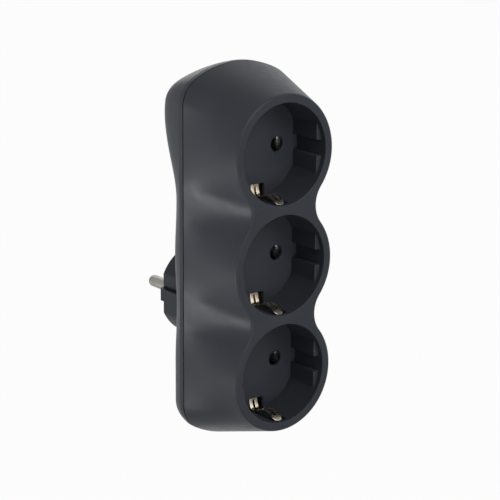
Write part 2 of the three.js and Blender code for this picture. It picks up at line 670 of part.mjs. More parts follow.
// A sprung strip: a foot behind the floor, a bend at the window, a hump into the recess, and
// a tip that leans back into the channel. A narrow slot runs along its middle.
function earthClip(up, z) {
  const foot = FOOT_FRONT + CLIP_SHEET / 2;
  const bendRadius = CHANNEL_OUTER - CLIP_HUMP / 2;
  const humpDepth = foot - CLIP_HUMP_RISE;
  const shape = stripShape([
    [CLIP_FOOT, foot],
    [WINDOW_INNER - CLIP_BEND, foot],
    [(WINDOW_INNER + bendRadius) / 2 - CLIP_BEND / 3, foot],
    [bendRadius - CLIP_SHEET / 2, foot - CLIP_BEND / 3],
    [bendRadius + CLIP_SHEET / 2, foot - CLIP_BEND],
    [CHANNEL_OUTER - 3 * CLIP_HUMP / 4, (foot + humpDepth) / 2 - CLIP_BEND / 2],
    [CHANNEL_OUTER - CLIP_HUMP, humpDepth],
    [CHANNEL_OUTER - 3 * CLIP_HUMP / 4, (CHANNEL_DEPTH + humpDepth) / 2],
    [CHANNEL_OUTER - CLIP_TIP_GAP, CHANNEL_DEPTH + CLIP_TIP_SETBACK],
  ], CLIP_SHEET, 13);
  const geometry = new THREE.ExtrudeGeometry(shape, { depth: CLIP_WIDTH, bevelEnabled: false });
  geometry.translate(0, 0, -CLIP_WIDTH / 2);
  geometry.applyMatrix4(new THREE.Matrix4().set(
    0, 0, 1, 0,
    0, 1, 0, 0,
    up, 0, 0, z,
    0, 0, 0, 1,
  ));
  const tip = CHANNEL_DEPTH + CLIP_TIP_SETBACK - CLIP_SHEET / 2;
  const half = CLIP_WIDTH / 2;
  const plan = new THREE.Shape();
  plan.moveTo(half, foot + CLIP_SHEET);
  plan.lineTo(-half, foot + CLIP_SHEET);
  plan.lineTo(-half, tip + half);
  plan.absarc(0, tip + half, half, Math.PI, 2 * Math.PI, false);
  const envelope = prismAlongZ(plan, z, 3 * PITCH);
  const slot = block(-CLIP_SLOT / 2, CLIP_SLOT / 2, tip + CLIP_SLOT_MARGIN, foot + CLIP_SHEET,
    z + up * (WINDOW_INNER + CLIP_BEND / 2), z + up * (CHANNEL_OUTER + PAST));
  return solid(geometry).intersect(envelope).subtract(slot);
}

function earthBar() {
  const reach = PITCH + WINDOW_INNER - PAST;
  const half = EARTH_BAR_WIDTH / 2;
  return block(-half, half, EARTH_BAR_FRONT, EARTH_BAR_BACK, -reach, reach);
}

// The plug's own earth strip: a base behind the earth bar, and two arms that run out along
// the channels of the plug and turn in over its face.
function plugEarthBracket() {
  const half = BRACKET_WIDTH / 2;
  const outer = ARM_INNER + SHEET;
  const base = block(-half, half, BRACKET_FRONT, BRACKET_BACK, -outer, outer);
  const parts = [base];
  for (const up of Object.values(CLIP_DIRECTIONS)) {
    parts.push(block(-half, half, BRACKET_FRONT, FACE_DEPTH - SHEET, up * ARM_INNER, up * outer));
    parts.push(block(-half, half, FACE_DEPTH - 2 * SHEET, FACE_DEPTH - SHEET, up * (ARM_INNER - HOOK_LENGTH), up * outer));
  }
  return union(parts).translate([0, 0, -PLUG_DROP]);
}

function plugEarthSleeve() {
  const r = EARTH_HOLE_DIAMETER / 2;
  const y0 = BRACKET_BACK + GAP;
  const y1 = FACE_DEPTH - FACE_COVER - GAP;
  return turned([
    [r, y0],
    [r + SLEEVE_WALL, y0],
    [r + SLEEVE_WALL, y1],
    [r, y1],
    [r, y0],
  ], 0, EARTH_HOLE_OFFSET - PLUG_DROP, HOLE_FACETS);
}

// A pan-head screw with a cross recess, seated in the bottom of its deep hole.
function coverScrew(x, z) {
  const seat = SCREW_SEAT_DEPTH + GAP;
  const head = SCREW_HEAD / 2;
  const shank = SCREW_SHANK / 2;
  const tip = seat - SCREW_LENGTH;
  const body = turned([
    [0, tip],
    [shank / 3, tip],
    [shank, tip + SCREW_POINT],
    [shank, seat],
    [head, seat],
    [head, seat + SCREW_HEAD_HEIGHT / 2],
    [(head + shank) / 2, seat + SCREW_HEAD_HEIGHT],
    [0, seat + SCREW_HEAD_HEIGHT],
  ], x, z, HOLE_FACETS);
  const top = seat + SCREW_HEAD_HEIGHT;
  const [long, narrow] = [CROSS_LENGTH / 2, CROSS_WIDTH / 2];
  const across = block(x - long, x + long, top - CROSS_DEPTH, top + PAST, z - narrow, z + narrow);
  const upright = block(x - narrow, x + narrow, top - CROSS_DEPTH, top + PAST, z - long, z + long);
  return body.subtract(across.add(upright));
}

const adapter = new THREE.Group();
const assembly = new THREE.Group();
assembly.position.set(0, -FACE_DEPTH, PLUG_DROP);
adapter.add(assembly);

assembly.add(piece('front_housing', frontHousing(), plastic));
assembly.add(piece('rear_cover', rearCover(), plastic));
assembly.add(piece('plug_body', plugBody(), darkPlastic));
for (const [name, side] of Object.entries(SIDES)) {
  assembly.add(piece(`plug_pin_${name}`, plugPin(side), nickel));
  assembly.add(piece(name === 'left' ? 'neutral_busbar' : 'live_busbar', busbar(side), brass));
}
for (const [socket, z] of Object.entries(SOCKETS)) {
  for (const [name, side] of Object.entries(SIDES)) {
    assembly.add(piece(`contact_${socket}_${name}`, contact(side, z), nickel));
  }
  for (const [name, up] of Object.entries(CLIP_DIRECTIONS)) {
    assembly.add(piece(`earth_clip_${socket}_${name}`, earthClip(up, z), nickel));
  }
}
assembly.add(piece('earth_bar', earthBar(), brass));
assembly.add(piece('plug_earth_bracket', plugEarthBracket(), nickel));
assembly.add(piece('plug_earth_sleeve', plugEarthSleeve(), nickel));
screwPlaces().forEach(([x, z], i) => {
  assembly.add(piece(`cover_screw_${i + 1}`, coverScrew(x, z), steel));
});

export default adapter;
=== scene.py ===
"""Looks for the triple socket adapter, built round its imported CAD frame.

Lengths are millimetres until a piece is made, and places are counted as in the part's source:
X to the right, Y back from the front plane, Z up from the axis of the middle socket.
"""

import math

import bmesh
import bpy
import numpy as np
from mathutils import Matrix, Vector
from mathutils.geometry import delaunay_2d_cdt


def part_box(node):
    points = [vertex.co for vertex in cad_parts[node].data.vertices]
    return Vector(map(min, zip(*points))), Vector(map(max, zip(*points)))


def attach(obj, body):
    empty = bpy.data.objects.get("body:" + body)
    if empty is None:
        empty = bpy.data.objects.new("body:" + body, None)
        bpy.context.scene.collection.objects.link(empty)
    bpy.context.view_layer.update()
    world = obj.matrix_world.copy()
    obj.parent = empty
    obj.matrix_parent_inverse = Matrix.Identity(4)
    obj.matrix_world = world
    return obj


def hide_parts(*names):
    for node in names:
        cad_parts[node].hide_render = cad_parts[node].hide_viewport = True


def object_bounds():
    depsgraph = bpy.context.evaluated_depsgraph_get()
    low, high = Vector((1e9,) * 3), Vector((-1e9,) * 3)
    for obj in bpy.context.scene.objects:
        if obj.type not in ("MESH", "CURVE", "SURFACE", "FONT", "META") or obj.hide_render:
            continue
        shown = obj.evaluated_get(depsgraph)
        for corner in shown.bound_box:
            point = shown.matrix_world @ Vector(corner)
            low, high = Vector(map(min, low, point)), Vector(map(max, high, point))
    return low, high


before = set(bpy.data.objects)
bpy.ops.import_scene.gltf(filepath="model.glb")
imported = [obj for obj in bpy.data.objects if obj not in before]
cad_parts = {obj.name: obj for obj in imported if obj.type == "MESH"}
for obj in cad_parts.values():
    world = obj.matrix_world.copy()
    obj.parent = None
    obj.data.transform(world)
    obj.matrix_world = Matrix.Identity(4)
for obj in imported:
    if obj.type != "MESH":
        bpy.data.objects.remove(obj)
cad_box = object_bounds()

MM = 0.001
PHOTO_PIXELS = 500
TINY = 1e-6

# Sockets
PITCH = 43.4
WELL_RADIUS = 19.75
WELL_DRAFT = 0.35
WELL_DEPTH = 17.0
LIP_EDGE = 0.4
RIM_WIDTH = 3.35
FLOOR_THICKNESS = 1.5
CHANNEL_MARGIN = 0.25
PAD_FACE = 17.1
PAD_DEPTH = 2.4
PAD_GROOVE = 6.2
PAD_EDGE = 0.35
PIN_SPACING = 19.0
HOLE_DIAMETER = 5.9
HOLE_CHAMFER = 0.4
WINDOW_WIDTH = 6.6
WINDOW_INNER = 14.4
CHANNEL_OUTER = 21.2
CHANNEL_DEPTH = 1.8

# Body
WAIST_FILLET = 11.3
FRONT_EDGE = 0.8
SEAM_DEPTH = 30.0
SEAM_HALF_WIDTH = 25.9
SEAM_CORNER = 11.6
SEAM_ARCH = 41.4
SEAM_EDGE = 0.12
SEAM_LINE = 0.5
END_MARGIN = 31.6
WALL = 2.0
GAP = 0.3

# Rear cover
BAND_WIDTH = 2.0
BACK_DEPTH = 39.6
COVER_INSET = 4.4
COVER_WAIST = 0.9
BULGE_START = 22.0
BULGE_CREST = 55.0
BULGE_RISE = 7.2
BULGE_FALL = 5.0
TONGUE_HEIGHT = 1.5
TONGUE_THICKNESS = 1.2
SCREW_X = 17.0
SCREW_FROM_WELL = 18.1
PILLAR_BASE = 31.5
SCREW_SEAT = 2.0
RECESS_RADIUS = 3.2
PILLAR_RADIUS = 4.4
BOSS_RADIUS = 3.2
PILLAR_SETBACK = 1.0

# Plug
PLUG_DROP = 21.0
PLUG_LENGTH = 17.0
PLUG_RADIUS = 18.9
PLUG_FLAT = 17.1
PLUG_EDGE = 0.8
RIB_REACH = 19.0
RIB_WIDTH = 5.0
RIB_CHAMFER = 1.2
CHANNEL_FLOOR_DEPTH = 1.4
HOOK_LENGTH = 3.0
FACE_COVER = 1.0
PIN_DIAMETER = 4.8
PIN_LENGTH = 19.0
PIN_LEAD_IN = 0.12
EARTH_HOLE_OFFSET = 10.0
EARTH_HOLE_DIAMETER = 5.4
SLEEVE_WALL = 0.5
BRACKET_WIDTH = 6.0
SHEET = 0.8

# Earth clips
CLIP_SHEET = 0.6
CLIP_WIDTH = 4.0
CLIP_SLOT = 0.9
CLIP_SLOT_START = 1.4
CLIP_FOOT = 5.0
CLIP_BEND = 3.0
CLIP_HUMP = 3.9
CLIP_HUMP_RISE = 9.9
CLIP_TIP_GAP = 1.1
CLIP_TIP_SETBACK = 0.7
CLIP_SLOT_MARGIN = 2.6
CLIP_EDGE = 0.12
CLIP_EDGE_ANGLE = 50.0

# How far a cutting shape reaches past what it cuts
PAST = 1.0

# Places that follow
HALF_PITCH = PITCH / 2
RIM_RADIUS = WELL_RADIUS + RIM_WIDTH
FLOOR_BACK = WELL_DEPTH + FLOOR_THICKNESS
PIN_X = PIN_SPACING / 2
FACE_DEPTH = BACK_DEPTH + PLUG_LENGTH
COVER_FRONT = SEAM_DEPTH + SEAM_LINE
BAND_END = COVER_FRONT + BAND_WIDTH
FILLET_X = math.sqrt((RIM_RADIUS + WAIST_FILLET) ** 2 - HALF_PITCH**2)
TANGENT_ANGLE = math.atan2(HALF_PITCH, FILLET_X)
CORNER_X = SEAM_HALF_WIDTH - SEAM_CORNER
ARCH_Z = END_MARGIN - SEAM_ARCH
CORNER_Z = ARCH_Z + math.sqrt((SEAM_ARCH - SEAM_CORNER) ** 2 - CORNER_X**2)
ARM_INNER = PLUG_RADIUS - CHANNEL_FLOOR_DEPTH
SOCKETS = {"top": PITCH, "middle": 0.0, "bottom": -PITCH}
SIDES = {"left": -1, "right": 1}
CLIPS = {"upper": 1, "lower": -1}
SCREWS = [
    (side * SCREW_X, end * (PITCH + SCREW_FROM_WELL)) for end in (1, -1) for side in (-1, 1)
]

# Steps along the outline's arcs
OUTLINE_STEPS = {"cap": 44, "collar": 14, "hollow": 12}

# Where the part's own frame has the front plane and the middle socket's axis
front_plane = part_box("front_housing")[0].y
bar_low, bar_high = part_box("earth_bar")
middle_axis = (bar_low.z + bar_high.z) / 2


def to_frame(points):
    """Millimetres from the front plane and the middle axis become metres in the part's frame."""
    return np.asarray(points, float) * MM + np.array([0.0, front_plane, middle_axis])


# Outlines


def outline_places():
    """Places round the right half of the outline, from the lowest point to the highest.

    Each row is a kind (0 end cap, 1 collar, 2 hollow), the height of the arc's centre and an
    angle about it. The angles are evenly spaced along each arc.
    """
    cap_steps = OUTLINE_STEPS["cap"]
    rows = [[0, -PITCH, a] for a in np.linspace(-math.pi / 2, 0, cap_steps + 1)[:-1]]
    for lobe in (-1, 0, 1):
        start = 0 if lobe == -1 else -TANGENT_ANGLE
        end = 0 if lobe == 1 else TANGENT_ANGLE
        count = OUTLINE_STEPS["collar"] * (1 if lobe else 2)
        rows += [[1, lobe * PITCH, a] for a in np.linspace(start, end, count + 1)]
        if lobe < 1:
            count = 2 * OUTLINE_STEPS["hollow"]
            inner = np.linspace(-TANGENT_ANGLE, TANGENT_ANGLE, count + 1)[1:-1]
            rows += [[2, (lobe + 0.5) * PITCH, a] for a in inner]
    rows += [[0, PITCH, a] for a in np.linspace(0, math.pi / 2, cap_steps + 1)[1:]]
    return np.array(rows)


PLACES = outline_places()
KIND, CENTRE, ANGLE = PLACES.T


def front_outline(inset):
    """X and Z on the lobed front outline: three circles joined by hollow arcs, all moved in."""
    hollow = KIND == 2
    radius = np.where(hollow, WAIST_FILLET + inset, RIM_RADIUS - inset)
    across = radius * np.cos(ANGLE)
    x = np.where(hollow, FILLET_X - across, across)
    return np.stack([x, CENTRE + radius * np.sin(ANGLE)], -1)


def seam_radius(angle, inset):
    """Distance from an end socket's axis to the seam outline, moved in by an inset.

    A ray at the angle meets a straight side, a corner arc or a wide arch, whichever lies there.
    """
    dx = np.maximum(np.cos(angle), TINY)
    dz = np.abs(np.sin(angle))
    side = (SEAM_HALF_WIDTH - inset) / dx

    def hit(cx, cz, radius):
        along = dx * cx + dz * cz
        return along + np.sqrt(np.maximum(along**2 - cx**2 - cz**2 + radius**2, 0))

    arch = hit(0, ARCH_Z, SEAM_ARCH - inset)
    on_arch = arch * dx * (CORNER_Z - ARCH_Z) < CORNER_X * (arch * dz - ARCH_Z)
    rounded = np.where(on_arch, arch, hit(CORNER_X, CORNER_Z, SEAM_CORNER - inset))
    return np.where(side * dz <= CORNER_Z, side, rounded)


def seam_outline(inset):
    """X and Z on the seam outline at the same places, moved in by an inset."""
    cap = KIND == 0
    radius = seam_radius(ANGLE, inset)
    x = np.where(cap, radius * np.cos(ANGLE), SEAM_HALF_WIDTH - inset)
    z = np.where(cap, CENTRE + radius * np.sin(ANGLE), front_outline(0)[:, 1])
    return np.stack([x, z], -1)


def body_half(depth, inset):
    """Half a ring of the body at a depth, moved in by an inset.

    It lies between the front outline and the seam outline, in proportion to the depth.
    """
    share = depth / SEAM_DEPTH
    flat = (1 - share) * front_outline(inset) + share * seam_outline(inset)
    return np.stack([flat[:, 0], np.full(len(flat), depth), flat[:, 1]], -1)


def back_depth(z):
    """Depth of the cover's back at a height.

    It is flat at first, then rises by the smoothstep of the height, 3 times its square less
    2 times its cube, up to the bulge's crest, and then falls off by a square.
    """
    share = np.clip((z - BULGE_START) / (BULGE_CREST - BULGE_START), 0, 1)
    past = np.maximum(z - BULGE_CREST, 0) / (PITCH + END_MARGIN - COVER_INSET - BULGE_CREST)
    return BACK_DEPTH + BULGE_RISE * share**2 * (3 - 2 * share) - BULGE_FALL * past**2


def cover_half(turn_in, wall=0.0):
    """Half a ring of the rear cover, from its band (turn-in 0) to its back (turn-in 1).

    The rise is one less the cube of what is left of the turn-in, and the flanks draw in a
    little between the sockets by a cosine of the height.
    """
    rise = 1 - (1 - turn_in) ** 3
    flat = seam_outline(COVER_INSET * turn_in + wall)
    hollow = np.where(KIND == 0, 0, (1 - np.cos(2 * math.pi * flat[:, 1] / PITCH)) / 2)
    x = flat[:, 0] - COVER_WAIST * hollow * rise
    depth = BAND_END + (back_depth(flat[:, 1]) - wall - BAND_END) * rise
    return np.stack([np.where(flat[:, 0] < TINY, 0, x), depth, flat[:, 1]], -1)


def whole(half):
    """A closed ring from its right half and the mirror image of it."""
    half = half.copy()
    half[[0, -1], 0] = 0
    return np.concatenate([half, half[-2:0:-1] * [-1, 1, 1]])


# Patches. A patch is a pair: an array of points, and a list of faces that index it.


def grid(points, closed=False):
    """Four-sided faces between neighbouring rows and columns of an array of points."""
    rows, columns = points.shape[:2]
    span = columns if closed else columns - 1
    i, j = np.meshgrid(np.arange(rows - 1), np.arange(span), indexing="ij")
    k = (j + 1) % columns
    row = i * columns
    after = row + columns
    quads = np.stack([row + j, row + k, after + k, after + j], -1)
    return points.reshape(-1, 3), quads.reshape(-1, 4).tolist()


def flat_face(*loops):
    """A flat face at one depth, inside the first loop of points and outside the others.

    It is cut into triangles between the given points. The openings are convex, so a triangle
    with all its corners on one of them lies in that opening, and is left out.
    """
    points = np.concatenate(loops)
    owner = np.repeat(np.arange(len(loops)), [len(loop) for loop in loops])
    edges = []
    for k in range(len(loops)):
        mine = np.flatnonzero(owner == k)
        edges += np.stack([mine, np.roll(mine, -1)], -1).tolist()
    flat = [Vector((p[0], p[2])) for p in points]
    inside_outer_edge = 1
    merge_distance = 1e-5
    places, _, triangles, origin, _, _ = delaunay_2d_cdt(
        flat, edges, [], inside_outer_edge, merge_distance
    )
    no_loop = -1
    kept = []
    for triangle in triangles:
        owners = {owner[origin[i][0]] if origin[i] else no_loop for i in triangle}
        if len(owners) > 1 or owners == {0}:
            kept.append(list(triangle))
    depth = points[0][1]
    return np.array([[place.x, depth, place.y] for place in places]), kept


def lathe(profile, x, z, steps=48):
    """A profile of (radius, depth) pairs turned about a line parallel to Y through (x, z)."""
    radius, depth = np.array(profile, float).T
    a = np.linspace(0, 2 * math.pi, steps, endpoint=False)
    ring = np.stack([np.cos(a), np.zeros(steps), np.sin(a)], -1)
    points = radius[:, None, None] * ring + depth[:, None, None] * [0, 1, 0] + [x, 0, z]
    return grid(points, closed=True)


def box_patch(x0, x1, y0, y1, z0, z1):
    """A closed box between two corners."""
    corners = np.array([[x, y, z] for x in (x0, x1) for y in (y0, y1) for z in (z0, z1)])
    faces = [[0, 1, 3, 2], [4, 6, 7, 5], [0, 4, 5, 1], [2, 3, 7, 6], [0, 2, 6, 4], [1, 5, 7, 3]]
    return corners, faces


def mesh_of(name, patches):
    """One mesh from several patches: doubled points merged, faces with no area left out."""
    points = []
    faces = []
    base = 0
    for patch_points, patch_faces in patches:
        points.append(to_frame(patch_points))
        faces += [[base + i for i in face] for face in patch_faces]
        base += len(patch_points)
    mesh = bpy.data.meshes.new(name)
    mesh.from_pydata(np.concatenate(points).tolist(), [], faces)
    clean(mesh)
    return mesh


def clean(mesh, doubles=3e-6):
    """Merges doubled points, drops faces without area and turns all faces outwards."""
    work = bmesh.new()
    work.from_mesh(mesh)
    bmesh.ops.remove_doubles(work, verts=work.verts, dist=doubles)
    bmesh.ops.dissolve_degenerate(work, edges=work.edges, dist=doubles)
    bmesh.ops.recalc_face_normals(work, faces=work.faces)
    work.to_mesh(mesh)
    work.free()


def object_of(name, patches):
    """An object at the origin that holds the patches."""
    made = bpy.data.objects.new(name, mesh_of(name, patches))
    bpy.context.scene.collection.objects.link(made)
    return made


def carve(target, operation, name, patches):
    """Adds or takes away closed patches, and keeps the result as the target's mesh."""
    tool = object_of(name, patches)
    step = target.modifiers.new(name, "BOOLEAN")
    step.operation = operation
    step.object = tool
    step.solver = "EXACT"
    graph = bpy.context.evaluated_depsgraph_get()
    result = bpy.data.meshes.new_from_object(target.evaluated_get(graph))
    target.modifiers.clear()
    target.data = result
    clean(target.data)
    bpy.data.objects.remove(tool)


def finish_piece(piece, material, nodes=(), sharp=35.0, even=True):
    piece.data.materials.clear()
    piece.data.materials.append(material)
    piece.data.shade_smooth()
    piece.data.set_sharp_from_angle(angle=math.radians(sharp))
    if even:
        weighted = piece.modifiers.new("even_shading", "WEIGHTED_NORMAL")
        weighted.keep_sharp = True
    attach(piece, "root")
    if nodes:
        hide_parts(*nodes)
    return piece


# Materials


def new_material(name):
    """An empty node material, its Principled shader and its links."""
    material = bpy.data.materials.new(name)
    material.use_nodes = True
    nodes = material.node_tree.nodes
    return material, nodes, material.node_tree.links, nodes["Principled BSDF"]


def object_noise(nodes, links, scale, stretch=(1, 1, 1), detail=3.0):
    """Noise that sits in the piece's own space, stretched along its axes."""
    place = nodes.new("ShaderNodeTexCoord")
    mapping = nodes.new("ShaderNodeMapping")
    mapping.inputs["Scale"].default_value = stretch
    noise = nodes.new("ShaderNodeTexNoise")
    noise.inputs["Scale"].default_value = scale
    noise.inputs["Detail"].default_value = detail
    links.new(place.outputs["Object"], mapping.inputs["Vector"])
    links.new(mapping.outputs["Vector"], noise.inputs["Vector"])
    return noise.outputs["Fac"]


def ramp(nodes, links, value, low, high):
    """A colour ramp between two colours, driven by a value near one half."""
    blend = nodes.new("ShaderNodeValToRGB")
    blend.color_ramp.elements[0].position = 0.3
    blend.color_ramp.elements[0].color = (*low, 1)
    blend.color_ramp.elements[1].position = 0.7
    blend.color_ramp.elements[1].color = (*high, 1)
    links.new(value, blend.inputs["Fac"])
    return blend.outputs["Color"]


def spread(nodes, links, value, low, high):
    """Carries a value from the range 0.3 to 0.7 over to another range."""
    place = nodes.new("ShaderNodeMapRange")
    place.inputs["From Min"].default_value = 0.3
    place.inputs["From Max"].default_value = 0.7
    place.inputs["To Min"].default_value = low
    place.inputs["To Max"].default_value = high
    links.new(value, place.inputs["Value"])
    return place.outputs["Result"]


def bump(nodes, links, shader, height, strength, distance):
    """Fine relief on the shader's normal."""
    relief = nodes.new("ShaderNodeBump")
    relief.inputs["Strength"].default_value = strength
    relief.inputs["Distance"].default_value = distance
    links.new(height, relief.inputs["Height"])
    links.new(relief.outputs["Normal"], shader.inputs["Normal"])


def screen(red, green, blue):
    """A colour as a screen shows it, from 0 to 255, as the shader needs it."""
    value = np.array([red, green, blue]) / 255
    return tuple(np.where(value <= 0.04045, value / 12.92, ((value + 0.055) / 1.055) ** 2.4))


CLOUD_SCALE = 60
GLOSS_SCALE = 350
GRAIN_SCALE = 4500
GRAIN_STRENGTH = 0.25
GRAIN_DEPTH = 0.04 * MM
PLASTIC_IOR = 1.45
PLASTIC_SPECULAR = 0.14
DRAWN_SCALE = 900
DRAWN_STRENGTH = 0.15
DRAWN_DEPTH = 0.03 * MM
WEAR_SCALE = 160


def moulded_plastic(name, dark, light, rough_low, rough_high):
    """Moulded plastic: faint cloudiness, a fine spark-eroded grain and uneven gloss."""
    material, nodes, links, shader = new_material(name)
    cloud = object_noise(nodes, links, CLOUD_SCALE, detail=2)
    links.new(ramp(nodes, links, cloud, screen(*dark), screen(*light)), shader.inputs["Base Color"])
    gloss = object_noise(nodes, links, GLOSS_SCALE, detail=4)
    links.new(spread(nodes, links, gloss, rough_low, rough_high), shader.inputs["Roughness"])
    grain = object_noise(nodes, links, GRAIN_SCALE, detail=2)
    bump(nodes, links, shader, grain, GRAIN_STRENGTH, GRAIN_DEPTH)
    shader.inputs["IOR"].default_value = PLASTIC_IOR
    shader.inputs["Specular IOR Level"].default_value = PLASTIC_SPECULAR
    return material


def plated_metal(name, dark, light, rough_low, rough_high, stretch):
    """Plated or rolled metal: fine drawn lines, and a gloss that varies along them."""
    material, nodes, links, shader = new_material(name)
    shader.inputs["Metallic"].default_value = 1.0
    lines = object_noise(nodes, links, DRAWN_SCALE, stretch, detail=4)
    links.new(ramp(nodes, links, lines, screen(*dark), screen(*light)), shader.inputs["Base Color"])
    worn = object_noise(nodes, links, WEAR_SCALE, detail=3)
    links.new(spread(nodes, links, worn, rough_low, rough_high), shader.inputs["Roughness"])
    bump(nodes, links, shader, lines, DRAWN_STRENGTH, DRAWN_DEPTH)
    return material


housing_plastic = moulded_plastic(
    "anthracite_housing_plastic", (49, 52, 58), (53, 56, 62), 0.34, 0.42
)
plug_plastic = moulded_plastic(
    "dark_plug_plastic", (38, 42, 48), (42, 46, 52), 0.42, 0.52
)
clip_plating = plated_metal(
    "nickel_clip_plating", (232, 218, 194), (250, 240, 220), 0.16, 0.28, (1, 0.15, 1)
)
contact_plating = plated_metal(
    "silvered_contact_plating", (206, 206, 206), (232, 232, 232), 0.18, 0.3, (1, 0.2, 1)
)
pin_plating = plated_metal(
    "nickel_pin_plating", (122, 119, 114), (142, 139, 134), 0.32, 0.46, (1, 0.1, 1)
)
strip_brass = plated_metal(
    "rolled_brass", (178, 146, 84), (196, 164, 98), 0.3, 0.42, (1, 1, 0.1)
)
screw_steel = plated_metal(
    "zinc_screw_steel", (150, 151, 154), (172, 173, 176), 0.3, 0.42, (1, 0.3, 1)
)


# Front housing


def well_section():
    """The cross-section of a recess, as places for the rows of its wall to use.

    One quadrant goes from the groove beside the pin holes, round a guide pad and the open
    wall, to the middle of the earth channel; three mirror images close it. The columns are
    X, Z, and marks for a pad place and a channel place.
    """
    half_groove = PAD_GROOVE / 2
    half_window = WINDOW_WIDTH / 2
    groove_x = math.sqrt(WELL_RADIUS**2 - half_groove**2)
    window_z = math.sqrt(WELL_RADIUS**2 - half_window**2)
    pad_end = math.sqrt(WELL_RADIUS**2 - PAD_FACE**2)
    past_pad = 0.01
    open_start = math.atan2(pad_end, PAD_FACE) + past_pad
    open_end = math.acos((half_window + CHANNEL_MARGIN) / WELL_RADIUS)
    past_corner = 0.3

    def on_wall(start, end, count):
        a = np.linspace(start, end, count)
        return np.stack([WELL_RADIUS * np.cos(a), WELL_RADIUS * np.sin(a), 0 * a, 0 * a], -1)

    def line(x0, z0, x1, z1, count, pad, channel):
        t = np.linspace(0, 1, count)
        x = x0 + (x1 - x0) * t
        z = z0 + (z1 - z0) * t
        return np.stack([x, z, 0 * t + pad, 0 * t + channel], -1)

    turn = np.linspace(0, math.pi / 2, 5)
    corner_x = PAD_FACE + PAD_EDGE * (1 - np.sin(turn))
    corner_z = half_groove + PAD_EDGE * (1 - np.cos(turn))
    quadrant = np.concatenate([
        on_wall(0, math.asin(half_groove / WELL_RADIUS), 5),
        line(groove_x, half_groove, PAD_FACE + 2 * PAD_EDGE, half_groove, 3, 1, 0),
        np.stack([corner_x, corner_z, 0 * turn + 1, 0 * turn], -1),
        line(PAD_FACE, half_groove + 2 * PAD_EDGE, PAD_FACE, pad_end, 9, 1, 0),
        on_wall(open_start, open_end, 22),
        line(half_window, window_z, half_window, CHANNEL_OUTER, 3, 0, 1),
        line(half_window - past_corner, CHANNEL_OUTER, 0, CHANNEL_OUTER, 5, 0, 1),
    ])
    second = quadrant[-2::-1] * [-1, 1, 1, 1]
    upper = np.concatenate([quadrant, second])
    lower = upper[-2:0:-1] * [1, -1, 1, 1]
    return np.concatenate([upper, lower])


SECTION = well_section()


def well_row(depth, radius, pads, pad_gap, channels):
    """One row of a recess's wall at a depth.

    Wall places lie at the radius, and so do pad and channel places where these are off (0).
    Where they are on (1), a pad place moves out by the gap and stops at the radius, and a
    channel place lies at the channel's full depth.
    """
    x, z, pad, channel = SECTION.T
    reach = np.hypot(x, z)
    x_pad = x + np.sign(x) * pad_gap * np.clip((radius - reach) / PAD_EDGE, 0, 1)
    pad_scale = np.minimum(1, radius / np.hypot(x_pad, z))
    raised = (pad > 0) & (pads > 0)
    scale = np.where((channel > 0) & (channels > 0), 1, radius / reach)
    out_x = np.where(raised, x_pad * pad_scale, x * scale)
    out_z = np.where(raised, z * pad_scale, z * scale)
    return np.stack([out_x, np.full(len(x), depth), out_z], -1)


def well_radius(depth):
    """The recess narrows evenly from its lip to its floor."""
    return WELL_RADIUS - WELL_DRAFT * depth / WELL_DEPTH


def circle(radius, depth, x, z, steps=48):
    """A ring of points about a line parallel to Y."""
    a = np.linspace(0, 2 * math.pi, steps, endpoint=False)
    return np.stack([x + radius * np.cos(a), np.full(steps, depth), z + radius * np.sin(a)], -1)


def well_wall(height):
    """The rows of a recess's wall, from the rounded lip down past the pads' tops to the floor."""
    turn = np.linspace(0, math.pi / 2, 6)
    in_channel = well_radius(CHANNEL_DEPTH)
    at_pads = well_radius(PAD_DEPTH)
    rows = []
    for a in turn:
        lip = WELL_RADIUS + LIP_EDGE * (1 - math.sin(a))
        rows.append(well_row(LIP_EDGE * (1 - math.cos(a)), lip, 0, 0, 0))
    rows.append(well_row(CHANNEL_DEPTH, in_channel, 0, 0, 0))
    rows.append(well_row(CHANNEL_DEPTH, in_channel, 0, 0, 1))
    rows.append(well_row(PAD_DEPTH, at_pads, 0, 0, 1))
    for a in turn:
        depth = PAD_DEPTH + PAD_EDGE * (1 - math.cos(a))
        rows.append(well_row(depth, at_pads, 1, PAD_EDGE * (1 - math.sin(a)), 1))
    for depth in np.linspace(PAD_DEPTH + 2 * PAD_EDGE, WELL_DEPTH, 9):
        rows.append(well_row(depth, well_radius(depth), 1, 0, 1))
    return np.array(rows) + [0, 0, height]


def well_patches(height):
    """The wall, floor, pin holes and clip windows of one recess.

    It gives the patches, the recess's mouth, and the loops where its openings end at the back.
    """
    rows = well_wall(height)
    patches = [grid(rows, closed=True)]
    last = rows[-1]
    in_channel = SECTION[:, 3] > 0
    picks = {way: np.flatnonzero(in_channel & (SECTION[:, 1] * way > 0)) for way in (1, -1)}
    edges = {}
    openings = []
    for way in (1, -1):
        mouth = last[picks[way]]
        inner = height + way * WINDOW_INNER
        edges[way] = np.array([[mouth[end, 0], WELL_DEPTH, inner] for end in (0, -1)])
        window = np.concatenate([edges[way][:1], mouth, edges[way][1:]])
        behind = window + [0, FLOOR_THICKNESS, 0]
        patches.append(grid(np.stack([window, behind]), closed=True))
        openings.append(behind)
    boundary = np.concatenate([
        last[: picks[1][0] + 1],
        edges[1],
        last[picks[1][-1] : picks[-1][0] + 1],
        edges[-1],
        last[picks[-1][-1] :],
    ])

    radius = HOLE_DIAMETER / 2
    mouth_radius = radius + HOLE_CHAMFER
    bore = [(mouth_radius, WELL_DEPTH), (radius, WELL_DEPTH + HOLE_CHAMFER), (radius, FLOOR_BACK)]
    holes = []
    for side in SIDES.values():
        x = side * PIN_X
        patches.append(lathe(bore, x, height))
        holes.append(circle(mouth_radius, WELL_DEPTH, x, height))
        openings.append(circle(radius, FLOOR_BACK, x, height))
    patches.append(flat_face(boundary, *holes))
    return patches, rows[0], openings


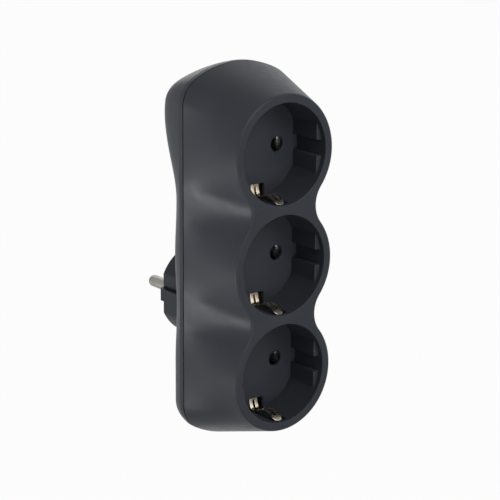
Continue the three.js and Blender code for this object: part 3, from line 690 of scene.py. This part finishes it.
def front_housing():
    """The front moulding: a ruled surface from the lobed front outline to the seam outline."""
    turn = np.linspace(0, math.pi / 2, 7)
    halves = [
        body_half(FRONT_EDGE * (1 - math.cos(a)), FRONT_EDGE * (1 - math.sin(a))) for a in turn
    ]
    halves += [body_half(d, 0) for d in np.linspace(FRONT_EDGE, SEAM_DEPTH - SEAM_EDGE, 26)[1:]]
    halves += [
        body_half(SEAM_DEPTH - SEAM_EDGE * (1 - math.sin(a)), SEAM_EDGE * (1 - math.cos(a)))
        for a in turn[1::2]
    ]
    halves += [body_half(SEAM_DEPTH, WALL), body_half(FLOOR_BACK, WALL)]
    rings = [whole(half) for half in halves]
    patches = [grid(np.array(rings), closed=True)]
    mouths = []
    openings = []
    for height in SOCKETS.values():
        well, mouth, ends = well_patches(height)
        patches += well
        mouths.append(mouth)
        openings += ends
    patches.append(flat_face(rings[0], *mouths))
    patches.append(flat_face(rings[-1], *openings))
    boss_end = PILLAR_BASE - GAP
    boss = [(0, FLOOR_BACK), (BOSS_RADIUS, FLOOR_BACK), (BOSS_RADIUS, boss_end), (0, boss_end)]
    patches += [lathe(boss, x, z) for x, z in SCREWS]
    piece = object_of("front_moulding", patches)
    return finish_piece(piece, housing_plastic, ["front_housing"])


# Rear cover


def band(depth, inset):
    """Half a ring of the seam outline at a depth, moved in by an inset."""
    flat = seam_outline(inset)
    return np.stack([flat[:, 0], np.full(len(flat), depth), flat[:, 1]], -1)


def across(half, columns=25):
    """A face from one side of a half ring to its mirror image, in even columns."""
    share = np.linspace(-1, 1, columns)[None, :, None]
    return grid(half[:, None, :] * np.where([True, False, False], share, 1))


def rear_cover():
    """The back shell: a band at the seam, flanks that turn in, and a back with a bulge on top.

    Its closed ring of half rings goes from the lining's end to the tongue, and from the seam's
    rounded edge to the back. The turn-in's steps crowd near the band, by a power.
    """
    turn = np.linspace(0, math.pi / 2, 5)
    lining_turns = np.linspace(0, 1, 12) ** 1.3
    outside_turns = np.linspace(0, 1, 34) ** 1.4
    lean = (SEAM_HALF_WIDTH - FILLET_X + WAIST_FILLET) / SEAM_DEPTH
    tongue_face = WALL + GAP + TONGUE_HEIGHT * lean
    tongue_back = tongue_face + TONGUE_THICKNESS
    tongue_end = SEAM_DEPTH - TONGUE_HEIGHT
    lining = [cover_half(t, WALL) for t in lining_turns]
    tongue = [
        band(BAND_END, tongue_back),
        band(tongue_end, tongue_back),
        band(tongue_end, tongue_face),
        band(COVER_FRONT, tongue_face),
    ]
    outside = [
        band(COVER_FRONT + SEAM_EDGE * (1 - math.cos(a)), SEAM_EDGE * (1 - math.sin(a)))
        for a in turn
    ]
    outside += [cover_half(t) for t in outside_turns]
    rings = [whole(half) for half in lining[::-1] + tongue + outside]
    patches = [grid(np.array(rings), closed=True), across(lining[-1]), across(outside[-1])]
    piece = object_of("back_shell", patches)

    pillar_end = BACK_DEPTH - PILLAR_SETBACK
    pillar = [
        (0, PILLAR_BASE),
        (PILLAR_RADIUS, PILLAR_BASE),
        (PILLAR_RADIUS, pillar_end),
        (0, pillar_end),
    ]
    carve(piece, "UNION", "pillars", [lathe(pillar, x, z) for x, z in SCREWS])
    seat = PILLAR_BASE + SCREW_SEAT
    past_bulge = BACK_DEPTH + BULGE_RISE + PAST
    pit = [(0, seat), (RECESS_RADIUS, seat), (RECESS_RADIUS, past_bulge), (0, past_bulge)]
    cuts = [lathe(pit, x, z) for x, z in SCREWS]
    cuts += plug_prism(BACK_DEPTH - WALL - PAST, BACK_DEPTH + PAST, GAP)
    carve(piece, "DIFFERENCE", "pits_and_plug_opening", cuts)
    return finish_piece(piece, housing_plastic, ["rear_cover"])


# Plug


def plug_outline(inset, rib_reach, clearance=0.0):
    """X and Z round the plug: two arcs, and two flats that each carry a guide rib."""
    radius = PLUG_RADIUS + clearance - inset
    flat = PLUG_FLAT + clearance - inset
    half_rib = RIB_WIDTH / 2 + clearance
    a = np.linspace(math.acos(flat / radius), math.pi / 2, 36)
    rib = np.array([[rib_reach, 0], [rib_reach, half_rib], [flat, half_rib]])
    quadrant = np.concatenate([rib, np.stack([radius * np.cos(a), radius * np.sin(a)], -1)])
    upper = np.concatenate([quadrant, quadrant[-2::-1] * [-1, 1]])
    return np.concatenate([upper, upper[-2:0:-1] * [1, -1]])


def plug_ring(depth, inset, rib_reach, clearance=0.0):
    """The plug's outline at a depth, in its place below the middle socket."""
    flat = plug_outline(inset, rib_reach, clearance)
    return np.stack([flat[:, 0], np.full(len(flat), depth), flat[:, 1] - PLUG_DROP], -1)


def plug_prism(start, end, clearance):
    """A closed prism of the plug's outline, grown by a clearance."""
    rings = np.array([plug_ring(d, 0, RIB_REACH + clearance, clearance) for d in (start, end)])
    return [grid(rings, closed=True), flat_face(rings[0]), flat_face(rings[1])]


def plug_body():
    """The plug with its rounded face edge, chamfered ribs, earth channels and holes."""
    start = BACK_DEPTH - 2 * WALL
    past_start = start - PAST
    past_face = FACE_DEPTH + PAST
    turn = np.linspace(0, math.pi / 2, 7)
    stations = [(start, 0.0), (FACE_DEPTH - RIB_CHAMFER, 0.0)]
    stations += [
        (FACE_DEPTH - PLUG_EDGE * (1 - math.sin(a)), PLUG_EDGE * (1 - math.cos(a))) for a in turn
    ]
    rings = []
    for depth, inset in stations:
        chamfer = max(0.0, depth - FACE_DEPTH + RIB_CHAMFER)
        rings.append(plug_ring(depth, inset, RIB_REACH - chamfer))
    sides = grid(np.array(rings), closed=True)
    piece = object_of("plug_moulding", [sides, flat_face(rings[0]), flat_face(rings[-1])])

    half = BRACKET_WIDTH / 2 + GAP
    pocket_floor = FACE_DEPTH - 2 * SHEET - GAP
    channels = []
    pockets = []
    for way in CLIPS.values():
        outer = way * (PLUG_RADIUS + PAST) - PLUG_DROP
        middle = way * ARM_INNER - PLUG_DROP
        inner = way * (ARM_INNER - GAP) - PLUG_DROP
        deepest = way * (ARM_INNER - HOOK_LENGTH - GAP) - PLUG_DROP
        channels.append(box_patch(-half, half, past_start, past_face, inner, outer))
        pockets.append(box_patch(-half, half, pocket_floor, past_face, deepest, middle))
    carve(piece, "DIFFERENCE", "channels", channels)

    radius = PIN_DIAMETER / 2 + GAP
    bore = [(0, past_start), (radius, past_start), (radius, past_face), (0, past_face)]
    pockets += [lathe(bore, x, -PLUG_DROP) for x in (-PIN_X, PIN_X)]
    hole_radius = EARTH_HOLE_DIAMETER / 2
    radius = hole_radius + SLEEVE_WALL + GAP
    step = FACE_DEPTH - FACE_COVER
    earth_hole = [
        (0, past_start),
        (radius, past_start),
        (radius, step),
        (hole_radius, step),
        (hole_radius, past_face),
        (0, past_face),
    ]
    pockets.append(lathe(earth_hole, 0, EARTH_HOLE_OFFSET - PLUG_DROP))
    carve(piece, "DIFFERENCE", "pockets_and_holes", pockets)
    return finish_piece(piece, plug_plastic, ["plug_body"])


def plug_pin(side, name):
    """A round pin with a lead-in at its root and a domed tip."""
    start = (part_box(f"plug_pin_{name}")[0].y - front_plane) / MM
    radius = PIN_DIAMETER / 2
    tip = FACE_DEPTH + PIN_LENGTH
    a = np.linspace(0, math.pi / 2, 13)
    shank_end = tip - radius
    profile = [
        (0, start),
        (radius - PIN_LEAD_IN, start),
        (radius, start + PIN_LEAD_IN),
        (radius, shank_end - PIN_LEAD_IN),
    ]
    profile += zip(radius * np.cos(a), shank_end + radius * np.sin(a))
    piece = object_of(f"plug_contact_pin_{name}", [lathe(profile, side * PIN_X, -PLUG_DROP, 56)])
    return finish_piece(piece, pin_plating, [f"plug_pin_{name}"])


# Earth clips


def clip_line(count):
    """The clip's bent line in (radius, depth), a Catmull-Rom curve through its bends.

    The foot lies behind the floor, the bend fills the window, and the hump leans into the
    recess before the tip turns back towards the channel.
    """
    foot = FLOOR_BACK + GAP + CLIP_SHEET / 2
    hump_depth = foot - CLIP_HUMP_RISE
    bend_radius = CHANNEL_OUTER - CLIP_HUMP / 2
    shoulder = CHANNEL_OUTER - 3 * CLIP_HUMP / 4
    bends = np.array([
        [CLIP_FOOT, foot],
        [WINDOW_INNER - CLIP_BEND, foot],
        [(WINDOW_INNER + bend_radius) / 2 - CLIP_BEND / 3, foot],
        [bend_radius - CLIP_SHEET / 2, foot - CLIP_BEND / 3],
        [bend_radius + CLIP_SHEET / 2, foot - CLIP_BEND],
        [shoulder, (foot + hump_depth) / 2 - CLIP_BEND / 2],
        [CHANNEL_OUTER - CLIP_HUMP, hump_depth],
        [shoulder, (CHANNEL_DEPTH + hump_depth) / 2],
        [CHANNEL_OUTER - CLIP_TIP_GAP, CHANNEL_DEPTH + CLIP_TIP_SETBACK],
    ])
    spans = len(bends) - 1
    t = np.linspace(0, spans, count)
    k = np.minimum(t.astype(int), spans - 1)
    f = (t - k)[:, None]
    padded = np.concatenate([bends[:1], bends, bends[-1:]])
    p0, p1, p2, p3 = (padded[k + shift] for shift in range(4))
    slope = p2 - p0
    bow = 2 * p0 - 5 * p1 + 4 * p2 - p3
    twist = 3 * p1 - p0 - 3 * p2 + p3
    return p1 + (slope * f + bow * f**2 + twist * f**3) / 2


def earth_clip(socket, height, name, way):
    """A sprung strip, rounded at its tip, with a narrow slot along its middle.

    The half width at the tip and the slot's half width at its ends are quarter circles.
    """
    line = clip_line(150)
    length = np.concatenate([[0], np.cumsum(np.hypot(*np.diff(line, axis=0).T))])
    half_width = CLIP_WIDTH / 2
    thinnest = 0.02
    tip = np.clip((length[-1] - length) / half_width, 0, 1)
    width = np.maximum(half_width * np.sqrt(1 - (1 - tip) ** 2), thinnest)

    before_hump = slice(60)
    radius_at_start = WINDOW_INNER + CLIP_SLOT_START
    slot_start = np.interp(radius_at_start, line[before_hump, 0], length[before_hump])
    slot_end = length[-1] - CLIP_SLOT_MARGIN
    half_slot = CLIP_SLOT / 2
    from_start = np.clip((length - slot_start) / half_slot, 0, 1)
    from_end = np.clip((slot_end - length) / half_slot, 0, 1)
    opening = half_slot * np.sqrt(1 - (1 - np.minimum(from_start, from_end)) ** 2)
    share = np.linspace(0, 1, 6)
    patches = []
    for side in (-1, 1):
        x = side * (opening[:, None] + (width - opening)[:, None] * share)
        z = height + way * np.repeat(line[:, :1], len(share), 1)
        y = np.repeat(line[:, 1:], len(share), 1)
        patches.append(grid(np.stack([x, y, z], -1)))
    piece = object_of(f"spring_clip_{socket}_{name}", patches)
    wall = piece.modifiers.new("sheet_thickness", "SOLIDIFY")
    wall.thickness = CLIP_SHEET * MM
    wall.offset = 0
    wall.use_even_offset = True
    edge = piece.modifiers.new("stamped_edge", "BEVEL")
    edge.width = CLIP_EDGE * MM
    edge.segments = 2
    edge.limit_method = "ANGLE"
    edge.angle_limit = math.radians(CLIP_EDGE_ANGLE)
    replaced = [f"earth_clip_{socket}_{name}"]
    return finish_piece(piece, clip_plating, replaced, even=False)


# Pieces

front_housing()
rear_cover()
plug_body()
for side_name, side_sign in SIDES.items():
    plug_pin(side_sign, side_name)
for socket_name, socket_height in SOCKETS.items():
    for clip_name, clip_way in CLIPS.items():
        earth_clip(socket_name, socket_height, clip_name, clip_way)

NODE_FINISHES = {
    "neutral_busbar": strip_brass,
    "live_busbar": strip_brass,
    "earth_bar": strip_brass,
    "plug_earth_bracket": clip_plating,
    "plug_earth_sleeve": clip_plating,
}
for name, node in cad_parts.items():
    finish = NODE_FINISHES.get(name)
    if name.startswith("contact_"):
        finish = contact_plating
    if name.startswith("cover_screw_"):
        finish = screw_steel
    if finish:
        node.data.materials.clear()
        node.data.materials.append(finish)


# Studio, with lengths in metres

FLOOR_DROP = 0.30
FLOOR_REACH = 6.0
FLOOR_ROUGHNESS = 0.9
FLOOR_SPECKLE = 300
FLOOR_GLOW = 0.97
FILL_LIGHT = 0.13
BACKDROP_WHITE = 1.0


def seen_directly(nodes, links):
    """One for camera, transmission and glossy rays, which are to see the white background."""
    rays = nodes.new("ShaderNodeLightPath")
    seen = rays.outputs["Is Camera Ray"]
    for kind in ("Is Transmission Ray", "Is Glossy Ray"):
        either = nodes.new("ShaderNodeMath")
        either.operation = "MAXIMUM"
        links.new(seen, either.inputs[0])
        links.new(rays.outputs[kind], either.inputs[1])
        seen = either.outputs["Value"]
    return seen


floor_height = cad_box[0].z - FLOOR_DROP
corners = ((-1, -1), (1, -1), (1, 1), (-1, 1))
floor_mesh = bpy.data.meshes.new("studio_floor")
floor_mesh.from_pydata(
    [(x * FLOOR_REACH, y * FLOOR_REACH, floor_height) for x, y in corners], [], [(0, 1, 2, 3)]
)
floor = bpy.data.objects.new("studio_floor", floor_mesh)
bpy.context.scene.collection.objects.link(floor)
floor_paint, floor_nodes, floor_links, floor_shader = new_material("pale_floor")
floor_shader.inputs["Roughness"].default_value = FLOOR_ROUGHNESS
speckle = object_noise(floor_nodes, floor_links, FLOOR_SPECKLE)
floor_links.new(
    ramp(floor_nodes, floor_links, speckle, (0.86, 0.86, 0.86), (0.9, 0.9, 0.9)),
    floor_shader.inputs["Base Color"],
)
floor_glow = floor_nodes.new("ShaderNodeEmission")
floor_share = floor_nodes.new("ShaderNodeMath")
floor_share.operation = "MULTIPLY"
floor_share.inputs[1].default_value = FLOOR_GLOW
floor_mix = floor_nodes.new("ShaderNodeMixShader")
floor_links.new(seen_directly(floor_nodes, floor_links), floor_share.inputs[0])
floor_links.new(floor_share.outputs["Value"], floor_mix.inputs["Fac"])
floor_links.new(floor_shader.outputs["BSDF"], floor_mix.inputs[1])
floor_links.new(floor_glow.outputs["Emission"], floor_mix.inputs[2])
floor_links.new(floor_mix.outputs["Shader"], floor_nodes["Material Output"].inputs["Surface"])
floor_mesh.materials.append(floor_paint)

world = bpy.data.worlds.new("studio")
world.use_nodes = True
bpy.context.scene.world = world
sky_nodes = world.node_tree.nodes
sky_links = world.node_tree.links
fill = sky_nodes["Background"]
fill.inputs["Color"].default_value = (1, 1, 1, 1)
fill.inputs["Strength"].default_value = FILL_LIGHT
backdrop = sky_nodes.new("ShaderNodeBackground")
backdrop.inputs["Color"].default_value = (1, 1, 1, 1)
backdrop.inputs["Strength"].default_value = BACKDROP_WHITE
sky_mix = sky_nodes.new("ShaderNodeMixShader")
sky_links.new(seen_directly(sky_nodes, sky_links), sky_mix.inputs["Fac"])
sky_links.new(fill.outputs["Background"], sky_mix.inputs[1])
sky_links.new(backdrop.outputs["Background"], sky_mix.inputs[2])
sky_links.new(sky_mix.outputs["Shader"], sky_nodes["World Output"].inputs["Surface"])

# Softboxes: name, place, the point they face, width, height, spread of the beam in degrees, power
SOFTBOXES = [
    ("softbox_left", (-0.30, 0.075, -0.06), (-0.02, -0.03, 0.065), 0.2, 0.2, 30, 0.085),
    ("softbox_top", (0.30, 0.10, 0.55), (0, 0, 0), 0.3, 0.3, 180, 0.25),
    ("softbox_front", (-0.05, -0.44, 0.38), (0, 0, 0), 0.4, 0.4, 180, 1.8),
    ("softbox_low", (-0.10, -0.55, -0.10), (0, 0, 0.04), 0.2, 0.2, 60, 0.1),
    ("softbox_back", (0.30, 0.70, 0.35), (0, 0, 0), 0.4, 0.4, 180, 0.6),
]
for name, place, target, width, height, beam, power in SOFTBOXES:
    lamp = bpy.data.lights.new(name, "AREA")
    lamp.shape = "RECTANGLE"
    lamp.size = width
    lamp.size_y = height
    lamp.spread = math.radians(beam)
    lamp.energy = power
    softbox = bpy.data.objects.new(name, lamp)
    softbox.location = place
    softbox.visible_camera = False
    softbox.rotation_euler = (Vector(target) - Vector(place)).to_track_quat("-Z", "Y").to_euler()
    bpy.context.scene.collection.objects.link(softbox)

# Camera at the photograph's angle
CAMERA_AZIMUTH = math.radians(-37.61)
CAMERA_ELEVATION = math.radians(14.95)
CAMERA_ROLL = math.radians(0.32)
CAMERA_DISTANCE = 0.760
CAMERA_TARGET = Vector(to_frame([-16.67, 0.0, 8.89]))
FOCAL_PIXELS = 2020.9
SENSOR_WIDTH = 36.0

back = Vector((
    math.sin(CAMERA_AZIMUTH) * math.cos(CAMERA_ELEVATION),
    -math.cos(CAMERA_AZIMUTH) * math.cos(CAMERA_ELEVATION),
    math.sin(CAMERA_ELEVATION),
))
right = Vector((math.cos(CAMERA_AZIMUTH), math.sin(CAMERA_AZIMUTH), 0))
up = back.cross(right)
turned_right = math.cos(CAMERA_ROLL) * right + math.sin(CAMERA_ROLL) * up
turned_up = back.cross(turned_right)
camera_data = bpy.data.cameras.new("photo_camera")
camera_data.sensor_width = SENSOR_WIDTH
camera_data.lens = FOCAL_PIXELS / PHOTO_PIXELS * SENSOR_WIDTH
camera = bpy.data.objects.new("photo_camera", camera_data)
camera.matrix_world = Matrix.Translation(CAMERA_TARGET + back * CAMERA_DISTANCE) @ Matrix(
    (turned_right, turned_up, back)
).transposed().to_4x4()
bpy.context.scene.collection.objects.link(camera)
bpy.context.scene.camera = camera
bpy.context.scene.view_settings.view_transform = "Standard"
